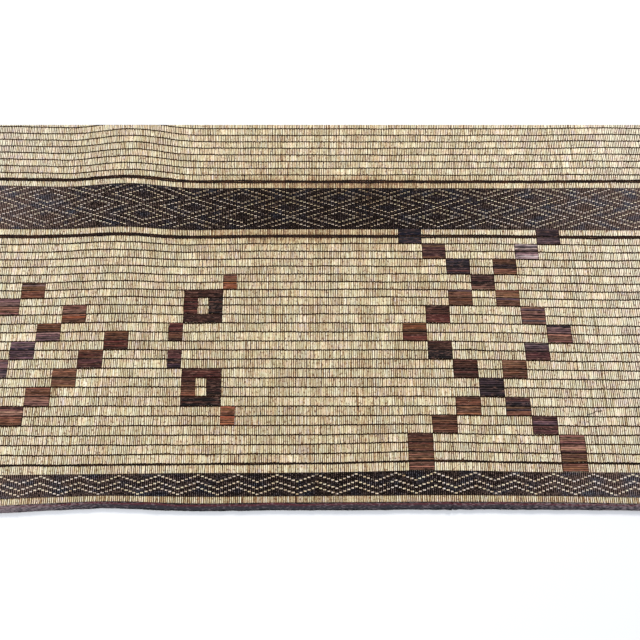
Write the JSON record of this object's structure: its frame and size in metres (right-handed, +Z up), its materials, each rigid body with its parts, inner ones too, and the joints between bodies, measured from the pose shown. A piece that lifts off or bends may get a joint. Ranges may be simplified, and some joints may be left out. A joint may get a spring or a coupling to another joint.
{
  "type": "reed and leather rug",
  "caption": "A cut length of reed mat twined with leather thong rows, with close-woven leather bands, floated leather blocks as ornament and one bound edge.",
  "frame": {"origin": "centre of the bounding box, on the floor that the mat lies on", "axes": "+X along the thong rows, +Y along the reeds away from the bound edge, +Z up"},
  "size_m": [0.997, 0.5992, 0.0135],
  "materials": {
    "reed": "dry, split and whole reeds, satin",
    "band_leather": "dark tanned strip, worn satin",
    "block_leather": "red-brown tanned strip, worn satin",
    "binding_leather": "folded edge strip, worn satin"
  },
  "bodies": {
    "root": {"block_left_01": "block_leather", "block_left_02": "block_leather", "block_left_03": "block_leather", "block_left_04": "block_leather", "block_left_05": "block_leather", "block_left_06": "block_leather", "block_left_07": "block_leather", "block_left_08": "block_leather", "block_left_09": "block_leather", "block_left_10": "block_leather", "block_left_11": "block_leather", "block_middle_01": "block_leather", "block_middle_02": "block_leather", "block_middle_03": "block_leather", "block_middle_04": "block_leather", "block_right_01": "block_leather", "block_right_02": "block_leather", "block_right_03": "block_leather", "block_right_04": "block_leather", "block_right_05": "block_leather", "block_right_06": "block_leather", "block_right_07": "block_leather", "block_right_08": "block_leather", "block_right_09": "block_leather", "block_right_10": "block_leather", "block_right_11": "block_leather", "block_right_12": "block_leather", "block_right_13": "block_leather", "block_right_14": "block_leather", "block_right_15": "block_leather", "block_right_16": "block_leather", "block_right_17": "block_leather", "block_right_18": "block_leather", "block_right_19": "block_leather", "block_right_20": "block_leather", "block_right_21": "block_leather", "block_right_22": "block_leather", "block_right_23": "block_leather", "block_right_24": "block_leather", "frame_middle_01": "block_leather", "frame_middle_02": "block_leather", "front_binding": "binding_leather", "narrow_band": "band_leather", "reed_field": "reed", "wide_band": "band_leather"}
  },
  "joints": []
}
